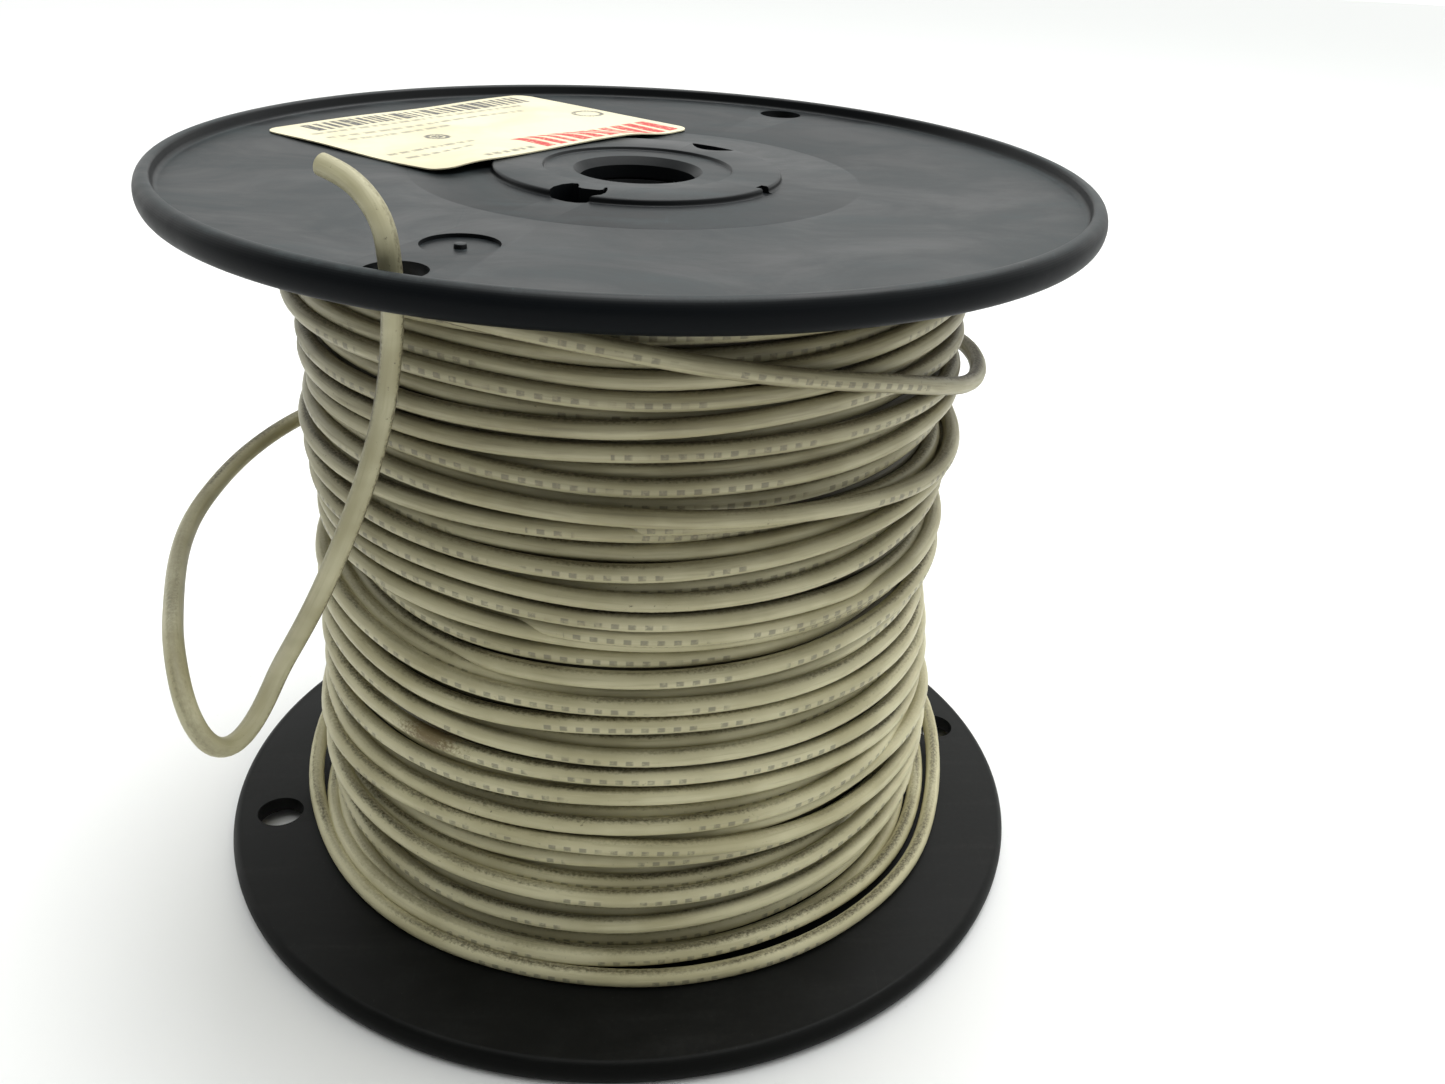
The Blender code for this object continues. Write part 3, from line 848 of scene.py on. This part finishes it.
def under_run(radius, height):
    """The layer under the visible turns, wound close. It fills the room that they leave."""
    pitch = 2 * WIRE_RADIUS / MM
    turns = np.arange(0, 360 * (HIGHEST_TURN - LOWEST_TURN) / pitch, STEP_DEGREES)
    high = HIGHEST_TURN - turns / 360 * pitch + wander(turns, 21, 0.12)
    high = np.clip(high, LOWEST_TURN, HIGHEST_TURN)
    beside, clear, touching = turns_beside(turns, high, radius, height)
    room = np.where(touching, beside - clear, OUTERMOST).min(axis=0)
    for shift in (1, -1, 2, -2):
        room = np.minimum(room, np.roll(room, shift))
    lay = eased(np.clip(room, *UNDER_RADIUS), 4) + wander(turns, 22, 0.1)
    return round_points(turns, lay, high)


def make_tail(material):
    """The free end, hollow at its cut, with the conductor's strands inside."""
    points = np.array(smooth_route(TAIL_ROUTE, TAIL_SAMPLES))
    outward = carried(points, np.array([-0.5, 0.86, 0.0]))
    mesh = tube_mesh("wire_tail_tube", [(points, outward, WIRE_RADIUS)], 24, hollow_end=True)
    tail = add_piece("free_end", mesh, material, ["wire_tail"])

    ahead = normalised(points[-1] - points[-2])
    side = outward[-1]
    across = np.cross(ahead, side)
    runs = []
    back = np.linspace(CONDUCTOR_LENGTH - 0.0004, 0.00015, 14)
    for ring, count in STRAND_RINGS:
        for i in range(count):
            turn = 2 * np.pi * i / count + back / 0.0009 * 0.25
            start = points[-1] - back[:, None] * ahead
            path = start + ring * (np.cos(turn)[:, None] * side + np.sin(turn)[:, None] * across)
            runs.append((path, np.repeat(side[None], len(path), axis=0), STRAND_RADIUS))
    strands = tube_mesh("strand_tubes", runs, 8)
    core = add_piece("conductor_strands", strands, copper_material(), ["conductor_end"])


def make_winding(material, shaded_under_look):
    turns, radius, height = settled_turns()
    outer = round_points(turns, radius.ravel(), height.ravel())
    for name, run, sides, look, nodes in (
        ("outer_turns", outer, 14, material, ["outer_wire_layers"]),
        ("crossing_turn", crossing_run(radius, height), 16, material, ()),
        ("slack_turns", slack_run(), 16, material, ["slack_bottom_turns"]),
        # The layer underneath gets the darker copy of the insulation, painted shade in the gaps
        ("under_turns", under_run(radius, height), 8, shaded_under_look, ["inner_wire_layers"]),
    ):
        mesh = tube_mesh(f"{name}_tube", [(*run, WIRE_RADIUS)], sides)
        add_piece(name, mesh, look, nodes)


# The flanges


def filleted(corners, steps=4):
    """(radius, height, rounding) corners to a profile with those corners rounded."""
    profile = []
    count = len(corners)
    for i in range(count):
        before = Vector(corners[i - 1][:2])
        here = Vector(corners[i][:2])
        after = Vector(corners[(i + 1) % count][:2])
        rounding = corners[i][2]
        if not rounding:
            profile.append(tuple(here))
            continue
        a = (before - here).normalized()
        b = (after - here).normalized()
        half = a.angle(b) / 2
        reach = rounding / math.tan(half)
        centre = here + (a + b).normalized() * (rounding / math.sin(half))
        start = here + a * reach - centre
        end = here + b * reach - centre
        sweep = start.angle(end)
        for j in range(steps + 1):
            t = j / steps
            arm = (start * math.sin((1 - t) * sweep) + end * math.sin(t * sweep)) / math.sin(sweep)
            profile.append(tuple(centre + arm))
    return profile


def rim_arc(steps=20):
    half = RIM_THICKNESS / 2
    reach = RIM_WIDTH - RIM_FLAT - 0.0003
    centre = FLANGE_RADIUS - reach
    for i in range(steps + 1):
        turn = math.pi / 2 - math.pi * i / steps
        yield centre + reach * math.cos(turn), -half + half * math.sin(turn)


def ring_under(inner, outer, depth):
    """The section of a ring on the web's inner side, from its outer wall to its inner one."""
    foot, end = -WEB_INNER_DEPTH, -WEB_INNER_DEPTH - depth
    return [(outer, foot, 0.0), (outer, end, 0.0), (inner, end, 0.0), (inner, foot, 0.0)]


def flange_profile():
    """The moulding's section, from its outer plane down, with every visible corner rounded."""
    inside = FLANGE_RADIUS - RIM_WIDTH
    recess = HUB_TOP - RECESS_DEPTH
    face = [
        (BORE_RADIUS, recess - BORE_LIP_DEPTH, 0.0),
        (BORE_RADIUS + BORE_LIP_WIDTH, recess, 0.0002),
        (RECESS_RADIUS, recess, 0.0003),
        (RECESS_RADIUS + 0.0003, HUB_TOP, 0.0002),
        (HUB_RADIUS, HUB_TOP, 0.0005),
        (HUB_RADIUS + 0.0001, -WEB_DEPTH, 0.0004),
        (GROOVE_RADIUS - 0.00025, -WEB_DEPTH, 0.0),
        (GROOVE_RADIUS, -WEB_DEPTH - 0.00007, 0.0),
        (GROOVE_RADIUS + 0.00025, -WEB_DEPTH, 0.0),
        (inside - 0.0003, -WEB_DEPTH, 0.0009),
        (inside + 0.0001, 0.0, 0.0007),
    ]
    rim = [(r, z, 0.0) for r, z in rim_arc()]
    back = [
        (inside + 0.0003, -RIM_THICKNESS, 0.0),
        (inside - 0.0008, -WEB_INNER_DEPTH, 0.0),
        *ring_under(*DRUM_RING),
        *ring_under(*CORE_RING),
        (BORE_RADIUS, -WEB_INNER_DEPTH, 0.0),
    ]
    return filleted([*face, *rim, *back])


def turned_mesh(name, profile, steps):
    """A closed profile turned round Z."""
    angle = 2 * np.pi * np.arange(steps) / steps
    r, z = np.array(profile).T
    count = len(profile)
    across = (np.outer(np.cos(angle), r), np.outer(np.sin(angle), r), np.outer(np.ones(steps), z))
    vertices = np.stack(across, axis=-1).reshape(-1, 3)
    ring, step = np.meshgrid(np.arange(steps), np.arange(count), indexing="ij")
    ahead, further = (ring + 1) % steps, (step + 1) % count
    corners = [ring * count + step, ahead * count + step, ahead * count + further, ring * count + further]
    faces = np.stack(corners, axis=-1).reshape(-1, 4)
    mesh = bpy.data.meshes.new(name)
    mesh.from_pydata(vertices.tolist(), [], faces.tolist())
    face_outward(mesh)
    return mesh


def prism(name, outline, low, high):
    """A closed outline of (x, y) points between two heights, as an object to cut with."""
    count = len(outline)
    vertices = [(x, y, low) for x, y in outline] + [(x, y, high) for x, y in outline]
    faces = [list(range(count))[::-1], list(range(count, 2 * count))]
    faces += [[i, (i + 1) % count, count + (i + 1) % count, count + i] for i in range(count)]
    mesh = bpy.data.meshes.new(name)
    mesh.from_pydata(vertices, [], faces)
    face_outward(mesh)
    obj = bpy.data.objects.new(name, mesh)
    bpy.context.scene.collection.objects.link(obj)
    return obj


def circle(centre, radius, steps=48):
    turns = [2 * math.pi * i / steps for i in range(steps)]
    return [(centre[0] + radius * math.cos(t), centre[1] + radius * math.sin(t)) for t in turns]


def lens(radius, half_angle, bow, steps=12):
    """The sliver between a circle and its chord, the chord bowed inwards."""
    chord = radius * math.cos(half_angle)
    half_width = radius * math.sin(half_angle)
    outline = []
    for i in range(steps + 1):
        turn = half_angle * (2 * i / steps - 1)
        outline.append((radius * math.cos(turn), radius * math.sin(turn)))
    for i in range(1, steps):
        share = 1 - 2 * i / steps
        outline.append((chord - bow * (1 - share * share), half_width * share))
    return outline


def turned_outline(outline, turn):
    c, s = math.cos(turn), math.sin(turn)
    return [(x * c - y * s, x * s + y * c) for x, y in outline]


def hub_slot(turn):
    return turned_outline(lens(SLOT_RADIUS, SLOT_HALF_ANGLE, SLOT_BOW), turn)


def polar(radius, degrees):
    return (radius * math.cos(math.radians(degrees)), radius * math.sin(math.radians(degrees)))


# The near slot, broken out through the hub's edge: radius in millimetres, place round in the spool's frame
BROKEN_SLOT = (
    (25.5, -124.2),
    (23.4, -126.2),
    (21.0, -126.6),
    (19.2, -124.6),
    (18.8, -121.8),
    (19.7, -119.4),
    (21.0, -117.6),
    (21.3, -115.0),
    (21.2, -111.5),
    (21.0, -107.5),
    (20.4, -106.1),
    (18.9, -106.7),
    (18.8, -105.3),
    (20.6, -103.9),
    (22.6, -103.4),
    (24.2, -104.2),
    (25.2, -106.4),
    (26.1, -108.8),
    (26.8, -111.5),
    (26.9, -115.5),
    (26.6, -119.0),
    (26.2, -122.0),
)


def flange_cutters(broken):
    """What is cut out of the moulding: drive holes, hub slots, the hub's notch and the gate recess."""
    if broken:
        near_slot = [polar(r * MM, a - math.degrees(TOP_FLANGE_TURN)) for r, a in BROKEN_SLOT]
    else:
        near_slot = hub_slot(NEAR_SLOT_TURN)
    inner, outer, half = HUB_RADIUS - 0.0014, HUB_RADIUS + 0.0008, NOTCH_HALF_WIDTH
    notch = [(inner, -half), (outer, -half), (outer, half), (inner, half)]
    holes = [circle(polar(DRIVE_HOLE_PITCH_RADIUS, turn), DRIVE_HOLE_RADIUS) for turn in (0, 180)]
    cuts = [(outline, -0.02, 0.02) for outline in (*holes, hub_slot(FAR_SLOT_TURN), near_slot)]
    cuts.append((turned_outline(notch, NOTCH_TURN), HUB_TOP - NOTCH_DEPTH, HUB_TOP + 0.01))
    gate = circle((GATE_PITCH_RADIUS, 0.0), GATE_RADIUS)
    cuts.append((gate, -WEB_DEPTH - GATE_DEPTH, -WEB_DEPTH + 0.001))
    return [prism(f"cutter_{i}", *cut) for i, cut in enumerate(cuts)]


def gate_nub():
    """The stub that stands in the gate recess."""
    top = [(0.00001, NUB_HEIGHT, 0.0), (NUB_RADIUS - 0.0001, NUB_HEIGHT, 0.0002)]
    profile = [*top, (NUB_RADIUS, -0.0002, 0.0), (0.00001, -0.0002, 0.0)]
    nub = turned_mesh("gate_nub", filleted(profile), 20)
    nub.transform(Matrix.Translation((GATE_PITCH_RADIUS, 0.0, -WEB_DEPTH - GATE_DEPTH)))
    return nub


def flange_mesh(name, broken):
    """The flange, in its own frame: outer plane at z = 0, body below."""
    body = bpy.data.objects.new(name, turned_mesh(name, flange_profile(), FLANGE_STEPS))
    bpy.context.scene.collection.objects.link(body)
    cutters = flange_cutters(broken)
    for cutter in cutters:
        modifier = body.modifiers.new(cutter.name, "BOOLEAN")
        modifier.object = cutter
        modifier.operation = "DIFFERENCE"
        modifier.solver = "EXACT"
    bevel = body.modifiers.new("soft_edges", "BEVEL")
    bevel.width = EDGE_ROUNDING
    bevel.segments = 2
    bevel.limit_method = "ANGLE"
    bevel.angle_limit = math.radians(50)
    bevel.use_clamp_overlap = True
    bpy.context.view_layer.update()
    graph = bpy.context.evaluated_depsgraph_get()
    made = bpy.data.meshes.new_from_object(body.evaluated_get(graph))
    for obj in (*cutters, body):
        bpy.data.objects.remove(obj, do_unlink=True)
    work = bmesh.new()
    work.from_mesh(made)
    work.from_mesh(gate_nub())
    bmesh.ops.remove_doubles(work, verts=work.verts, dist=0.0000005)
    work.to_mesh(made)
    work.free()
    made.name = name
    smooth(made, 32)
    return made


def top_flange_place():
    """From the top flange's own frame to the spool's. It leans a little, its near side down."""
    return Matrix.Translation((0, 0, SPOOL_HEIGHT)) @ Matrix.Rotation(TOP_FLANGE_LEAN, 4, "X")


def make_flanges():
    top = flange_mesh("top_flange_shell", True)
    top.transform(top_flange_place() @ Matrix.Rotation(TOP_FLANGE_TURN, 4, "Z"))
    bottom = flange_mesh("bottom_flange_shell", False)
    bottom.transform(Matrix.Rotation(math.pi, 4, "X") @ Matrix.Rotation(BOTTOM_FLANGE_TURN, 4, "Z"))
    dusty = plastic_material("black_plastic_dusty", *DUSTY_BLACK)
    clean = plastic_material("black_plastic_clean", *CLEAN_BLACK)
    add_piece("top_flange_moulding", top, dusty, ["top_flange"])
    add_piece("bottom_flange_moulding", bottom, clean, ["bottom_flange"])


# The label


def in_box(u, v, left, right, low, high):
    """How far each point is inside a box, in millimetres, from 0 to 1 over its soft edge."""
    inside = np.minimum(np.minimum(u - left, right - u), np.minimum(v - low, high - v))
    return np.clip(inside / INK_EDGE + 0.5, 0, 1)


def row_of_blocks(u, v, start, end, low, high, draw_width, draw_gap):
    """Blocks from start to end between two heights, each with the width drawn for it and a gap after it."""
    row = np.zeros_like(u)
    while start < end:
        width = draw_width()
        row = np.maximum(row, in_box(u, v, start, start + width, low, high))
        start += width + draw_gap()
    return row


def label_ink(u, v):
    """Plain marks where the label is printed: bars, rings, blocks and a red row. u is along, v across."""
    rng = np.random.default_rng(5)
    bars = row_of_blocks(
        u, v, -27.0, 28, 16.9, 23.0, lambda: rng.choice([0.9, 1.3, 2.0]), lambda: rng.choice([0.5, 0.7, 1.0])
    )
    layers = [bars]
    for ring_u, ring_v, size in ((28.6, -0.4, 3.0), (-13.2, -0.4, 2.0), (-13.2, -0.4, 0.7)):
        ring = np.hypot(u - ring_u, v - ring_v)
        layers.append(0.9 * np.clip((0.45 - np.abs(ring - size)) / 0.2 + 0.5, 0, 1))
    for low, start, end in WORD_ROWS:
        words = row_of_blocks(
            u, v, start, end, low, low + 1.2, lambda: rng.uniform(0.8, 3.0), lambda: rng.uniform(0.5, 1.0)
        )
        layers.append(0.6 * words)
    red = row_of_blocks(u, v, -7.0, 30.4, -23.2, -13.4, lambda: rng.uniform(1.8, 3.4), lambda: 1.1)
    small = row_of_blocks(u, v, -21.0, -9.5, -22.4, -21.0, lambda: rng.uniform(0.8, 2.0), lambda: 0.7)
    layers.append(0.7 * small)
    return np.max(layers, axis=0), red


def label_height(x, y, u, v):
    """The sheet's underside above the web: it rides over the hub's edge, and lifts at its near corner."""
    far = np.hypot(x, y) / MM
    climb = np.clip((CLIMB_START - far) / CLIMB_LENGTH, 0, 1)
    climb = climb * climb * (3 - 2 * climb) * (HUB_RISE / MM)
    corner = np.hypot(u - LIFTED_CORNER[0], v - LIFTED_CORNER[1])
    lift = CORNER_LIFT * np.clip(1 - corner / CORNER_REACH, 0, 1) ** 2
    wave = SHEET_WAVE * np.sin(u / 6.0 + 0.8) * np.sin(v / 5.0)
    return (SHEET_GAP + climb + lift + wave) * MM


def sheet_places():
    """The sheet's grid, along and across, with its corners drawn in to round the sheet's corners."""
    half_u, half_v = LABEL_SIZE[0] / 2, LABEL_SIZE[1] / 2
    across = round(LABEL_SIZE[0] / LABEL_CELL)
    down = round(LABEL_SIZE[1] / LABEL_CELL)
    along = np.linspace(-half_u, half_u, across + 1)
    u, v = np.meshgrid(along, np.linspace(-half_v, half_v, down + 1), indexing="ij")
    over_u = np.clip(np.abs(u) - (half_u - LABEL_CORNER), 0, None)
    over_v = np.clip(np.abs(v) - (half_v - LABEL_CORNER), 0, None)
    diagonal = np.hypot(over_u, over_v)
    pull = np.where(diagonal > 0, np.maximum(over_u, over_v) / np.where(diagonal > 0, diagonal, 1), 1)
    u = np.sign(u) * (np.minimum(np.abs(u), half_u - LABEL_CORNER) + over_u * pull)
    v = np.sign(v) * (np.minimum(np.abs(v), half_v - LABEL_CORNER) + over_v * pull)
    return u, v, across, down


def make_label():
    u, v, across, down = sheet_places()
    c, s = math.cos(LABEL_TURN), math.sin(LABEL_TURN)
    x = LABEL_CENTRE[0] + u * c - v * s
    y = LABEL_CENTRE[1] + u * s + v * c
    z = label_height(x, y, u / MM, v / MM) - WEB_DEPTH
    top = np.stack([x, y, z + LABEL_THICKNESS], axis=-1).reshape(-1, 3)
    under = np.stack([x, y, z], axis=-1).reshape(-1, 3)
    columns = down + 1
    i, j = np.meshgrid(np.arange(across), np.arange(down), indexing="ij")
    corners = [i * columns + j, (i + 1) * columns + j, (i + 1) * columns + j + 1, i * columns + j + 1]
    faces = np.stack(corners, axis=-1).reshape(-1, 4)
    count = len(top)
    border = [k * columns for k in range(across + 1)]
    border += [across * columns + k for k in range(1, down + 1)]
    border += [k * columns + down for k in range(across - 1, -1, -1)]
    border += [k for k in range(down - 1, 0, -1)]
    edge = [[a, b, b + count, a + count] for a, b in zip(border, border[1:] + border[:1])]
    mesh = bpy.data.meshes.new("label_sheet")
    faces = [*faces.tolist(), *(faces[:, ::-1] + count).tolist(), *edge]
    mesh.from_pydata(np.concatenate([top, under]).tolist(), [], faces)
    for name, ink in zip(("black_ink", "red_ink"), label_ink(u / MM, v / MM)):
        values = np.concatenate([ink.ravel(), np.zeros(count)]).astype(np.float32)
        mesh.attributes.new(name, "FLOAT", "POINT").data.foreach_set("value", values)
    face_outward(mesh)
    mesh.transform(top_flange_place())
    smooth(mesh, 50)
    add_piece("label_sheet", mesh, paper_material(), ["label"])


# The setting


def add_floor():
    mesh = bpy.data.meshes.new("table_top")
    work = bmesh.new()
    bmesh.ops.create_grid(work, x_segments=8, y_segments=8, size=3.0)
    work.to_mesh(mesh)
    work.free()
    mesh.materials.append(floor_material())
    table = bpy.data.objects.new("table_top", mesh)
    bpy.context.scene.collection.objects.link(table)
    table.location.z = -0.0001


def add_light(name, place, aim, size, power):
    data = bpy.data.lights.new(name, "AREA")
    data.shape = "SQUARE"
    data.size = size
    data.energy = power
    light = bpy.data.objects.new(name, data)
    bpy.context.scene.collection.objects.link(light)
    light.location = place
    light.rotation_euler = (Vector(aim) - Vector(place)).to_track_quat("-Z", "Y").to_euler()


def add_lighting():
    world = bpy.data.worlds.new("pale_room")
    world.use_nodes = True
    tree = world.node_tree
    toward_x, toward_y, toward_z = separated(tree, node(tree, "ShaderNodeTexCoord", {}).outputs["Generated"])
    # A room lit from behind the spool and from above, and dim on the near side
    lower = fit(tree, toward_z, 0.30, 0.56, 1.10, 0.84)
    behind = times(tree, fit(tree, toward_y, -0.25, 0.45, 0.15, 1.05), lower)
    above = fit(tree, toward_z, 0.78, 0.97, 0.15, 2.6)
    right = fit(tree, toward_x, 0.1, 0.9, 0.15, 0.9)
    sky = tree.nodes["Background"]
    sky.inputs["Color"].default_value = (0.985, 1.0, 0.985, 1.0)
    tree.links.new(calc(tree, "MAXIMUM", calc(tree, "MAXIMUM", behind, above), right), sky.inputs["Strength"])
    bpy.context.scene.world = world
    add_light("overhead", (0.25, 0.35, 1.1), (0, 0, 0.07), 0.9, 9.0)
    bpy.context.scene.view_settings.view_transform = "Standard"


def finish_hidden_nodes():
    """The drum and the core keep their CAD shape and get a moulded plastic."""
    core = plastic_material("core_plastic_moulded", *CORE_BLACK)
    for name in ("drum_tube", "arbor_core"):
        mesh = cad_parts[name].data
        mesh.materials.clear()
        mesh.materials.append(core)


add_camera()
# This insulation's colour holds painted shade in its crevices and under the top flange, besides dirt and wear
wire = wire_material("wire_insulation_worn_and_shaded", 1.0, (0.62, 0.58, 0.37), (0.475, 0.437, 0.257))
free_wire = wire_material("wire_insulation_free", 1.0, (0.50, 0.47, 0.305), (0.36, 0.33, 0.195), soiled_and_shaded=False)
# A much darker copy of the insulation for the layer underneath: painted shade in the gaps between the visible
# turns
under_wire_painted_shade = wire_material("wire_insulation_painted_shade", 0.7, (0.13, 0.12, 0.075), (0.09, 0.085, 0.052))
make_tail(free_wire)
make_winding(wire, under_wire_painted_shade)
make_flanges()
make_label()
finish_hidden_nodes()
add_floor()
add_lighting()

bpy.context.view_layer.update()
